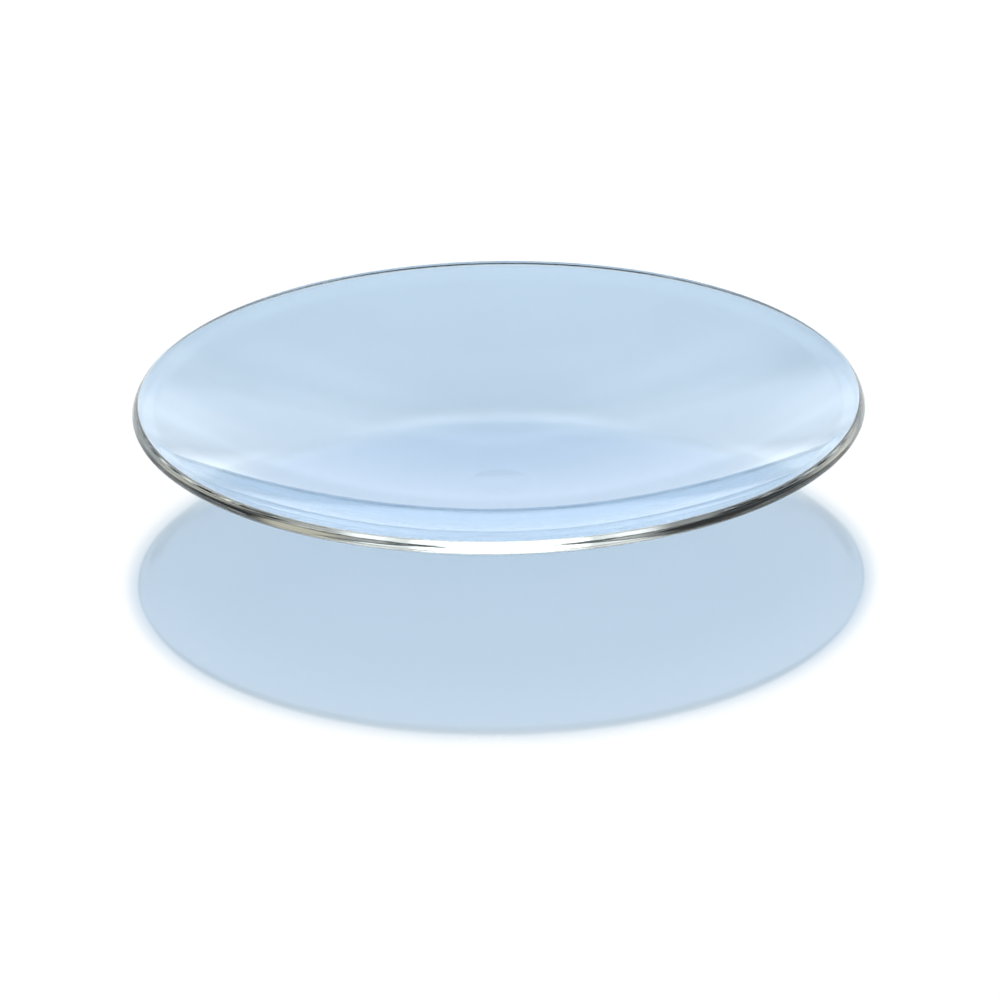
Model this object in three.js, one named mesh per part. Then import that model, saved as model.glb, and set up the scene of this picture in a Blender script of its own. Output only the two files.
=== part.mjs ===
// A laboratory watch glass: one round, shallow dish of clear glass, curved like part of a sphere.
// The wall has an even thickness. Its edge is cut square to the wall and melted smooth, so the rim
// has a nearly flat face between two round corners, and is slightly thicker than the wall. The dish
// stands on the middle of its underside, which has settled into a small flat. It is a single piece
// of glass, so the group holds one mesh.
//
// Millimetres, +Z up. The origin is the centre of the foot, on the surface that the dish stands on.

import * as THREE from "three";

// Driving dimensions.
const DIAMETER = 100; // over the rim
const UNDERSIDE_RADIUS = 105; // the sphere that the underside follows
const WALL = 1.6;
const RIM = 1.78; // thickness of the melted rim
const RIM_CORNER = 0.3; // radius of the rim's two corners
const RIM_CROWN = 0.075; // how far the rim's face swells out between its corners
const RIM_RUN = 3; // length over which the wall thickens towards the rim
const FOOT_RADIUS = 5; // the settled flat that the dish stands on

// How finely the round shapes are divided.
const TURN_STEPS = 72;
const WALL_STEPS = 12;
const RUN_STEPS = 3;
const CORNER_STEPS = 5;
const FACE_STEPS = 4;

// The wall is drawn from its middle surface, a sphere about CENTRE_HEIGHT on the axis. A place on it
// is given by its angle from straight down, seen from that centre. At RIM_ANGLE the rim's lower
// corner reaches out to the dish's full diameter.
const MIDDLE_RADIUS = UNDERSIDE_RADIUS - WALL / 2;
const CENTRE_HEIGHT = Math.sqrt(UNDERSIDE_RADIUS ** 2 - FOOT_RADIUS ** 2);
const FACE_HALF = RIM / 2 - RIM_CORNER; // half of the rim's face, between the corners
const RIM_ANGLE = Math.asin((DIAMETER / 2 - RIM_CORNER) / (MIDDLE_RADIUS + FACE_HALF));
const RUN_ANGLE = RIM_ANGLE - RIM_RUN / MIDDLE_RADIUS;
const FOOT_ANGLE = Math.asin(FOOT_RADIUS / UNDERSIDE_RADIUS);

// The point at an angle, so far outside (+) or inside (-) the middle surface, and so far beyond that
// angle along the wall.
function pointAt(angle, offset, along = 0) {
  const radius = MIDDLE_RADIUS + offset;
  return new THREE.Vector2(
    radius * Math.sin(angle) + along * Math.cos(angle),
    CENTRE_HEIGHT - radius * Math.cos(angle) + along * Math.sin(angle),
  );
}

// Half of the wall's thickness at an angle: even, then growing smoothly towards the rim.
function halfWall(angle) {
  const share = THREE.MathUtils.smoothstep(angle, RUN_ANGLE, RIM_ANGLE);
  return THREE.MathUtils.lerp(WALL, RIM, share) / 2;
}

// The angles of one face of the wall, from the middle out to the rim, closer together in the run.
function wallAngles(start) {
  const angles = [];
  for (let i = 0; i < WALL_STEPS; i++)
    angles.push(THREE.MathUtils.lerp(start, RUN_ANGLE, i / WALL_STEPS));
  for (let i = 0; i <= RUN_STEPS; i++)
    angles.push(THREE.MathUtils.lerp(RUN_ANGLE, RIM_ANGLE, i / RUN_STEPS));
  return angles;
}

// One corner of the rim, from its wall face to its edge. side is 1 for the lower, -1 for the upper.
function cornerPoints(side) {
  const points = [];
  for (let i = 1; i <= CORNER_STEPS; i++) {
    const turn = (Math.PI / 2) * (i / CORNER_STEPS);
    const offset = FACE_HALF + RIM_CORNER * Math.cos(turn);
    points.push(pointAt(RIM_ANGLE, side * offset, RIM_CORNER * Math.sin(turn)));
  }
  return points;
}

// The rim's face between its corners, from the lower to the upper, without its two ends.
function facePoints() {
  const points = [];
  for (let i = 1; i < FACE_STEPS; i++) {
    const share = 1 - (2 * i) / FACE_STEPS;
    const swell = RIM_CROWN * (1 - share ** 2);
    points.push(pointAt(RIM_ANGLE, FACE_HALF * share, RIM_CORNER + swell));
  }
  return points;
}

// The outline that is turned about the axis: the foot, the underside, the rim and the upper face.
function dishProfile() {
  const foot = new THREE.Vector2(0, 0);
  const underside = wallAngles(FOOT_ANGLE).map((a) => pointAt(a, halfWall(a)));
  const rim = [...cornerPoints(1), ...facePoints(), ...cornerPoints(-1).reverse()];
  const upperFace = wallAngles(0)
    .map((a) => pointAt(a, -halfWall(a)))
    .reverse();
  return [foot, ...underside, ...rim, ...upperFace];
}

function makeDish() {
  const glass = new THREE.MeshStandardMaterial({
    color: 0xbdd6ea,
    roughness: 0.03,
    metalness: 0,
    transparent: true,
    opacity: 0.35,
  });
  const dish = new THREE.Mesh(
    new THREE.LatheGeometry(dishProfile(), TURN_STEPS),
    glass,
  );
  dish.name = "dish";
  dish.rotation.x = Math.PI / 2; // a lathe turns its profile about Y, and the dish stands along Z
  return dish;
}

const watchGlass = new THREE.Group();
watchGlass.add(makeDish());

export default watchGlass;
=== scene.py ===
# A laboratory watch glass on a pale studio floor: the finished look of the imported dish.
# Metres, +Z up, in the frame's own axes. The dish stands on the middle of its underside at the origin.

import math

import bpy
from mathutils import Matrix, Vector, noise


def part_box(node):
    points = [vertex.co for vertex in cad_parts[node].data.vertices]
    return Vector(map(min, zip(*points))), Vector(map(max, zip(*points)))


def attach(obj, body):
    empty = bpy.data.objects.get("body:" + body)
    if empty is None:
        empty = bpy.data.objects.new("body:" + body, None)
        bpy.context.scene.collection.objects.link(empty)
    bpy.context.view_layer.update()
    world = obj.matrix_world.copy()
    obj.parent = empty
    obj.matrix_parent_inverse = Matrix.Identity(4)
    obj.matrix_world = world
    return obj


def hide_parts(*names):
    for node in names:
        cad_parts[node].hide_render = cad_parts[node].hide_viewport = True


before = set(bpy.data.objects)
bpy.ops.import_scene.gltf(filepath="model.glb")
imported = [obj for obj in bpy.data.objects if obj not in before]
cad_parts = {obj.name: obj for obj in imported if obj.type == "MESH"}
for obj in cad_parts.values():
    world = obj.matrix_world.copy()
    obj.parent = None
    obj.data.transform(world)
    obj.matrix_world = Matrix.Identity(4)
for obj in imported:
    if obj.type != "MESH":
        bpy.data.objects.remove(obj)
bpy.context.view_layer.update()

MM = 0.001

# The dish, worked out from the frame's box and from the shares of its radius that each part takes.
DISH_LOW, DISH_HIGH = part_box("dish")
RADIUS = (DISH_HIGH.x - DISH_LOW.x) / 2
HEIGHT = DISH_HIGH.z
MIDDLE_RADIUS = 2.084 * RADIUS  # the sphere in the middle of the wall
HALF_WALL = 0.016 * RADIUS
HALF_RIM = 0.0178 * RADIUS
CORNER = 0.006 * RADIUS  # radius of the rim's two melted corners
CROWN = 0.0015 * RADIUS  # how far the rim's face swells out between its corners
RIM_RUN = 0.06 * RADIUS  # length over which the wall thickens towards the rim
RIM_GLASS = 0.3 * CORNER  # how far beyond the end of the wall the rim's own glass begins
FOOT_RADIUS = 0.1 * RADIUS

# Angles are measured from straight down, at the centre of the sphere. At RIM_ANGLE the lower corner
# reaches out to RADIUS.
RIM_ANGLE = math.asin((RADIUS - CORNER) / (MIDDLE_RADIUS + HALF_RIM - CORNER))
RUN_ANGLE = RIM_ANGLE - RIM_RUN / MIDDLE_RADIUS
FOOT_ANGLE = math.asin(FOOT_RADIUS / (MIDDLE_RADIUS + HALF_WALL))
CENTRE_HEIGHT = (MIDDLE_RADIUS + HALF_WALL) * math.cos(FOOT_ANGLE)

# How finely the round shapes are divided.
TURN_STEPS = 384
WALL_STEPS = 64
RUN_STEPS = 10
CORNER_STEPS = 8
FACE_STEPS = 8
FOOT_STEPS = 6

# The slight unevenness of slumped glass and of a rim melted by hand, as (depth, length of a wave).
WALL_WAVE = (0.008 * MM, 17 * MM)
RIM_WAVE = (0.012 * MM, 14 * MM)
WALL_WAVE_RISE = 1 * MM  # height above the foot at which the wall's wave has its full depth
RIM_WAVE_RISE = (RADIUS - 4 * CORNER, RADIUS - CORNER)  # where the rim's wave begins, and is full

# The two glasses. Their patches are given as (size, shares of the noise where they begin, and are full).
GLASS_IOR = 1.52
WALL_TINT = (0.55, 0.70, 0.85)
RIM_TINT = (0.88, 0.95, 0.94)
LET_THROUGH = 0.88  # share of a lamp's light that the glass's two faces let through, besides the tint
TINT_PATCHES = (30 * MM, 0.3, 0.7)
TINT_CHANGE = 0.012
SMEAR_PATCHES = (14 * MM, 0.5, 0.8)
SMEAR_ROUGHNESS = 0.03
RIPPLE_PATCHES = (5 * MM, 0.2, 0.8)
WALL_RIPPLE = 0.002 * MM
RIM_RIPPLE = 0.0004 * MM
NOISE_DETAIL = 4
MIX_COLOURS = (6, 7)  # numbers of a colour Mix node's two inputs
MIX_RESULT = 2  # and of its output

WHITE = (1.0, 1.0, 1.0)
WARM = (1.0, 0.92, 0.76)

FLOOR_SIZE = 16  # keeps its edge out of the camera's view
FLOOR_DROP = 0.05 * MM  # gap under the foot
FLOOR_COLOUR = (0.90, 0.92, 0.94)
FLOOR_ROUGHNESS = 0.06
FLOOR_IOR = 1.5

KEY_ELEVATION = 24
KEY_WIDTH = 4  # how wide the lamp looks, in degrees
KEY_STRENGTH = 6.55

LENS = 300  # in millimetres, as the sensor
SENSOR = 36
VIEW_ELEVATION = 23.6
VIEW_ROLL = -0.85
DISH_SHARE = 0.7329  # the dish's share of the picture's width
AIM_DROP = 0.0983  # share of the picture's width by which its centre lies below the rim's

# The room that lights the glass and the floor: its own dim light, a glow round the horizon and soft
# boxes of light, each as (azimuth, elevation, half its width, half its height, squareness, feather,
# strength, colour). Angles are in degrees, and azimuth 0 is beyond the dish. A squareness of 2 is an
# ellipse, and the feather is a share of the half size.
ROOM = 0.01  # strengths of the dim light and the glow
HORIZON = 0.6
HORIZON_TOP = (4, 9)  # elevations at which the glow begins and ends its fading
LEAST_DEPTH = 0.001  # keeps a box from showing again in the opposite direction
BOXES_BEYOND = (  # mirrored in the hollow, where they fill the dish's shadow seen through it
    (0, 22, 22, 17, 3, 0.12, 0.5, WHITE),
    (0, 29, 21, 14, 4, 0.15, 0.4, WHITE),
    (0, 18.5, 11.5, 26.3, 2.3, 0.09, 1.0, WHITE),
    (0, 40, 7, 4, 2, 0.4, 0.4, WHITE),
    (0, 52, 20, 8, 3, 0.4, 0.22, WHITE),
    (21, 43, 9, 7, 3, 0.5, 0.3, WHITE),
    (-21, 43, 9, 7, 3, 0.5, 0.3, WHITE),
    (24, 13, 8, 12, 3, 0.3, 0.38, WHITE),
    (-24, 13, 8, 12, 3, 0.3, 0.3, WHITE),
    (17.5, 8.5, 5.5, 8.5, 3, 0.3, 0.45, WHITE),
    (-17.5, 8.5, 5.5, 8.5, 3, 0.3, 0.45, WHITE),
)
BOXES_BESIDE = (  # to the right and left of the dish, on the camera's side
    (125, 10, 35, 25, 6, 0.4, 0.5, WHITE),
    (-110, 12, 25, 20, 6, 0.45, 0.4, WHITE),
)
WARM_BOXES = (  # mirrored in the rim as beige arcs
    (32, 27, 6, 8, 6, 0.45, 0.55, WARM),
    (50, 4, 13, 9, 6, 0.35, 0.6, WARM),
    (-63, 6, 10, 9, 6, 0.4, 0.5, WARM),
)

MOST_BOUNCES = 64


def clamped(share):
    """A share held between 0 and 1."""
    return min(max(share, 0.0), 1.0)


def point_at(angle, offset, along=0.0):
    """(distance from the axis, height) of a point off the middle sphere and further out along the wall."""
    radius = MIDDLE_RADIUS + offset
    return (
        radius * math.sin(angle) + along * math.cos(angle),
        CENTRE_HEIGHT - radius * math.cos(angle) + along * math.sin(angle),
    )


def half_wall(angle):
    """Half of the wall's thickness: even, then growing smoothly towards the rim."""
    share = clamped((angle - RUN_ANGLE) / (RIM_ANGLE - RUN_ANGLE))
    share = share * share * (3 - 2 * share)
    return HALF_WALL + (HALF_RIM - HALF_WALL) * share


def face_angles(start):
    """Angles of one face of the wall from the middle out to the rim, closer together near the rim."""
    wall = [start + (RUN_ANGLE - start) * i / WALL_STEPS for i in range(WALL_STEPS)]
    run = [RUN_ANGLE + (RIM_ANGLE - RUN_ANGLE) * i / RUN_STEPS for i in range(RUN_STEPS + 1)]
    return wall + run


def rim_points():
    """The rim from the underside round to the upper face: a corner, the swelling face, a corner."""
    flat = HALF_RIM - CORNER
    turns = [math.pi / 2 * i / CORNER_STEPS for i in range(1, CORNER_STEPS + 1)]
    lower = [(flat + CORNER * math.cos(t), CORNER * math.sin(t)) for t in turns]
    shares = [1 - 2 * i / FACE_STEPS for i in range(1, FACE_STEPS)]
    face = [(flat * share, CORNER + CROWN * (1 - share * share)) for share in shares]
    upper = [(-offset, along) for offset, along in reversed(lower)]
    return [point_at(RIM_ANGLE, offset, along) for offset, along in lower + face + upper]


def dish_profile():
    """Points (distance from the axis, height) from the foot's middle, round the rim, to the hollow's."""
    foot = [(FOOT_RADIUS * i / FOOT_STEPS, 0.0) for i in range(FOOT_STEPS)]
    underside = [point_at(a, half_wall(a)) for a in face_angles(FOOT_ANGLE)]
    upper_face = [point_at(a, -half_wall(a)) for a in reversed(face_angles(0.0))]
    return foot + underside + rim_points() + upper_face


def turned_vertices(profile, steps):
    """The vertices of a profile turned about the axis. Its two ends lie on the axis."""
    vertices = [Vector((0, 0, profile[0][1]))]
    for distance, height in profile[1:-1]:
        for turn in range(steps):
            angle = 2 * math.pi * turn / steps
            vertices.append(Vector((distance * math.cos(angle), distance * math.sin(angle), height)))
    vertices.append(Vector((0, 0, profile[-1][1])))
    return vertices


def turned_faces(rings, steps):
    """The faces between the rings of a turned profile, and between its end rings and its end points."""
    last = 1 + rings * steps
    faces = []
    for turn in range(steps):
        after = (turn + 1) % steps
        faces.append((0, 1 + after, 1 + turn))
        for ring in range(rings - 1):
            low = 1 + ring * steps
            high = low + steps
            faces.append((low + turn, low + after, high + after, high + turn))
        faces.append((last, last - steps + turn, last - steps + after))
    return faces


def uneven(point):
    """The point moved by the glass's slight unevenness.

    The wall moves up or down, but not at the foot. The rim only moves inwards, so the dish stays inside
    its box in the frame.
    """
    distance = math.hypot(point.x, point.y)
    rim_start, rim_full = RIM_WAVE_RISE
    rimward = clamped((distance - rim_start) / (rim_full - rim_start))
    wall_depth, wall_length = WALL_WAVE
    rim_depth, rim_length = RIM_WAVE
    lift = wall_depth * noise.noise(point / wall_length) * min(point.z / WALL_WAVE_RISE, 1.0)
    pull = rim_depth * (noise.noise(point / rim_length) - 1) / 2 * rimward
    share = 1 + pull / RADIUS
    return Vector((point.x * share, point.y * share, point.z + lift))


def along_wall(point):
    """How far a point lies beyond the end of the wall, along the wall."""
    distance = math.hypot(point.x, point.y)
    return distance * math.cos(RIM_ANGLE) + (point.z - CENTRE_HEIGHT) * math.sin(RIM_ANGLE)


def add_object(name, data):
    thing = bpy.data.objects.new(name, data)
    bpy.context.scene.collection.objects.link(thing)
    return thing


def make_dish():
    """The dish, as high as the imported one. Its first material is the wall's and its second the rim's."""
    profile = dish_profile()
    vertices = [uneven(v) for v in turned_vertices(profile, TURN_STEPS)]
    top = max(v.z for v in vertices)
    for v in vertices:
        v.z *= HEIGHT / top
    mesh = bpy.data.meshes.new("watch_glass_dish")
    mesh.from_pydata(vertices, [], turned_faces(len(profile) - 2, TURN_STEPS))
    mesh.validate()
    mesh.polygons.foreach_set("use_smooth", [True] * len(mesh.polygons))
    for face in mesh.polygons:
        face.material_index = int(along_wall(face.center) > RIM_GLASS)
    return add_object("watch_glass_dish", mesh)


def feed(tree, value, socket):
    """Link another socket to this one, or set it to a plain value."""
    if isinstance(value, bpy.types.NodeSocket):
        tree.links.new(value, socket)
    else:
        socket.default_value = value


def math_node(tree, operation, *values):
    """The result of a Math node on one or two sockets or numbers."""
    node = tree.nodes.new("ShaderNodeMath")
    node.operation = operation
    for socket, value in zip(node.inputs, values):
        feed(tree, value, socket)
    return node.outputs[0]


def spread(tree, value, low, high, to_low, to_high):
    """A value carried smoothly from one range to another, and held at its ends."""
    node = tree.nodes.new("ShaderNodeMapRange")
    node.interpolation_type = "SMOOTHSTEP"
    for name, number in (("From Min", low), ("From Max", high), ("To Min", to_low), ("To Max", to_high)):
        node.inputs[name].default_value = number
    tree.links.new(value, node.inputs["Value"])
    return node.outputs["Result"]


def by_ray(tree, kind, usual, special):
    """The usual shader, but the special one for one kind of ray."""
    path = tree.nodes.new("ShaderNodeLightPath")
    mix = tree.nodes.new("ShaderNodeMixShader")
    tree.links.new(path.outputs[kind], mix.inputs["Fac"])
    tree.links.new(usual, mix.inputs[1])
    tree.links.new(special, mix.inputs[2])
    return mix.outputs["Shader"]


def clouds(tree, size, low, high):
    """Smooth random patches over the glass, from 0 below the low share of the noise to 1 above the high."""
    place = tree.nodes.new("ShaderNodeTexCoord")
    texture = tree.nodes.new("ShaderNodeTexNoise")
    texture.inputs["Scale"].default_value = 1 / size
    texture.inputs["Detail"].default_value = NOISE_DETAIL
    tree.links.new(place.outputs["Object"], texture.inputs["Vector"])
    return spread(tree, texture.outputs["Fac"], low, high, 0, 1)


def uneven_tint(tree, tint):
    """The glass's tint, a little deeper and paler in broad patches, as its thickness varies."""
    mix = tree.nodes.new("ShaderNodeMix")
    mix.data_type = "RGBA"
    tree.links.new(clouds(tree, *TINT_PATCHES), mix.inputs["Factor"])
    for number, share in zip(MIX_COLOURS, (1 - TINT_CHANGE, 1 + TINT_CHANGE)):
        mix.inputs[number].default_value = (*(min(c * share, 1.0) for c in tint), 1)
    return mix.outputs[MIX_RESULT]


def glass_roughness(tree):
    """Polished, but for faint smears from handling."""
    return math_node(tree, "MULTIPLY", clouds(tree, *SMEAR_PATCHES), SMEAR_ROUGHNESS)


def glass_bump(tree, depth):
    """The normal of a surface with the shallow waves of drawn and reheated glass."""
    bump = tree.nodes.new("ShaderNodeBump")
    bump.inputs["Distance"].default_value = depth
    tree.links.new(clouds(tree, *RIPPLE_PATCHES), bump.inputs["Height"])
    return bump.outputs["Normal"]


def glass_material(name, tint, ripple_depth):
    """Clear glass. Lamps shine through it, so that its shadow is as pale as the glass."""
    material = bpy.data.materials.new(name)
    material.use_nodes = True
    tree = material.node_tree
    shader = tree.nodes["Principled BSDF"]
    tree.links.new(uneven_tint(tree, tint), shader.inputs["Base Color"])
    tree.links.new(glass_roughness(tree), shader.inputs["Roughness"])
    tree.links.new(glass_bump(tree, ripple_depth), shader.inputs["Normal"])
    shader.inputs["Transmission Weight"].default_value = 1
    shader.inputs["IOR"].default_value = GLASS_IOR
    through = tree.nodes.new("ShaderNodeBsdfTransparent")
    face_tint = (math.sqrt(LET_THROUGH * c) for c in tint)  # the light passes two faces
    through.inputs["Color"].default_value = (*face_tint, 1)
    surface = by_ray(tree, "Is Shadow Ray", shader.outputs["BSDF"], through.outputs["BSDF"])
    tree.links.new(surface, tree.nodes["Material Output"].inputs["Surface"])
    return material


def plane(name, size, material):
    """A level square about the origin, which belongs to the studio."""
    mesh = bpy.data.meshes.new(name)
    half = size / 2
    corners = [(-half, -half, 0), (half, -half, 0), (half, half, 0), (-half, half, 0)]
    mesh.from_pydata(corners, [], [(0, 1, 2, 3)])
    mesh.materials.append(material)
    thing = add_object(name, mesh)
    return thing


def floor_material():
    material = bpy.data.materials.new("white_lacquer")
    material.use_nodes = True
    shader = material.node_tree.nodes["Principled BSDF"]
    shader.inputs["Base Color"].default_value = (*FLOOR_COLOUR, 1)
    shader.inputs["Roughness"].default_value = FLOOR_ROUGHNESS
    shader.inputs["IOR"].default_value = FLOOR_IOR
    return material


def direction(azimuth, elevation):
    """Unit vector from the dish; azimuth 0 is away from the camera, positive to the right."""
    a, e = math.radians(azimuth), math.radians(elevation)
    return Vector((math.sin(a) * math.cos(e), math.cos(a) * math.cos(e), math.sin(e)))


def lamp(name, azimuth, elevation, width, strength):
    """A far light with a soft edge. It lights and throws shadows, and isn't mirrored in glass or floor."""
    light = bpy.data.lights.new(name, "SUN")
    light.angle = math.radians(width)
    light.energy = strength
    thing = add_object(name, light)
    thing.rotation_mode = "QUATERNION"
    thing.rotation_quaternion = direction(azimuth, elevation).to_track_quat("Z", "Y")
    thing.visible_glossy = False
    thing.visible_transmission = False


def make_camera():
    """A far camera, in front of the dish and above it."""
    data = bpy.data.cameras.new("camera")
    data.lens = LENS
    data.sensor_width = SENSOR
    camera = add_object("camera", data)
    elevation = math.radians(VIEW_ELEVATION)
    right = Vector((1, 0, 0))
    up = Vector((0, math.sin(elevation), math.cos(elevation)))
    back = Vector((0, -math.cos(elevation), math.sin(elevation)))
    picture_width = 2 * RADIUS / DISH_SHARE
    distance = picture_width * LENS / SENSOR
    aim = Vector((0, 0, HEIGHT - HALF_RIM)) - up * (AIM_DROP * picture_width)
    turn = Matrix((right, up, back)).transposed()
    roll = Matrix.Rotation(math.radians(VIEW_ROLL), 3, "Z")
    camera.matrix_world = Matrix.Translation(aim + back * distance) @ (turn @ roll).to_4x4()
    bpy.context.scene.camera = camera


def share_towards(tree, way):
    """How far the looked-at direction points along a unit vector."""
    place = tree.nodes.new("ShaderNodeTexCoord")
    dot = tree.nodes.new("ShaderNodeVectorMath")
    dot.operation = "DOT_PRODUCT"
    dot.inputs[1].default_value = way
    tree.links.new(place.outputs["Generated"], dot.inputs[0])
    return dot.outputs["Value"]


def background(tree, colour, strength):
    """The shader of a far light of one colour."""
    light = tree.nodes.new("ShaderNodeBackground")
    light.inputs["Color"].default_value = (*colour, 1)
    feed(tree, strength, light.inputs["Strength"])
    return light.outputs[0]


def softbox(tree, azimuth, elevation, half_width, half_height, squareness, feather, strength, colour):
    """A far light with round corners and soft edges, sized in degrees from its middle."""
    ahead = direction(azimuth, elevation)
    right = Vector((ahead.y, -ahead.x, 0)).normalized()
    depth = math_node(tree, "MAXIMUM", share_towards(tree, ahead), LEAST_DEPTH)
    shares = []
    for way, half in ((right, half_width), (right.cross(ahead), half_height)):
        aside = math_node(tree, "ABSOLUTE", share_towards(tree, way))
        edge = math_node(tree, "MULTIPLY", depth, math.tan(math.radians(half)))
        share = math_node(tree, "DIVIDE", aside, edge)
        shares.append(math_node(tree, "POWER", share, squareness))
    outward = math_node(tree, "POWER", math_node(tree, "ADD", *shares), 1 / squareness)
    level = spread(tree, outward, 1 - feather, 1 + feather, strength, 0)
    return background(tree, colour, level)


def room_light(tree):
    """The dim room and the glow round its horizon."""
    height = math_node(tree, "ABSOLUTE", share_towards(tree, (0, 0, 1)))
    low, high = (math.sin(math.radians(elevation)) for elevation in HORIZON_TOP)
    return background(tree, WHITE, spread(tree, height, low, high, HORIZON, ROOM))


def make_world():
    """White to the camera. The glass and the floor are lit by a dim room with soft boxes of light."""
    world = bpy.data.worlds.new("studio")
    bpy.context.scene.world = world
    world.use_nodes = True
    tree = world.node_tree
    tree.nodes.clear()
    lit = room_light(tree)
    for values in BOXES_BEYOND + BOXES_BESIDE + WARM_BOXES:
        both = tree.nodes.new("ShaderNodeAddShader")
        tree.links.new(lit, both.inputs[0])
        tree.links.new(softbox(tree, *values), both.inputs[1])
        lit = both.outputs[0]
    surface = by_ray(tree, "Is Camera Ray", lit, background(tree, WHITE, 1))
    output = tree.nodes.new("ShaderNodeOutputWorld")
    tree.links.new(surface, output.inputs["Surface"])


def render_settings():
    """Plain colours, and enough bounces for light that is caught between the faces of the glass."""
    scene = bpy.context.scene
    scene.view_settings.view_transform = "Standard"
    scene.cycles.max_bounces = MOST_BOUNCES
    scene.cycles.glossy_bounces = MOST_BOUNCES
    scene.cycles.transmission_bounces = MOST_BOUNCES
    scene.cycles.caustics_reflective = False
    scene.cycles.caustics_refractive = False
    scene.cycles.use_denoising = True


make_camera()
dish = make_dish()
dish.data.materials.append(glass_material("clear_glass", WALL_TINT, WALL_RIPPLE))
dish.data.materials.append(glass_material("rim_glass", RIM_TINT, RIM_RIPPLE))
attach(dish, "root")
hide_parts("dish")

floor = plane("floor", FLOOR_SIZE, floor_material())
floor.location.z = -FLOOR_DROP
lamp("key_light", 0, KEY_ELEVATION, KEY_WIDTH, KEY_STRENGTH)
make_world()
render_settings()
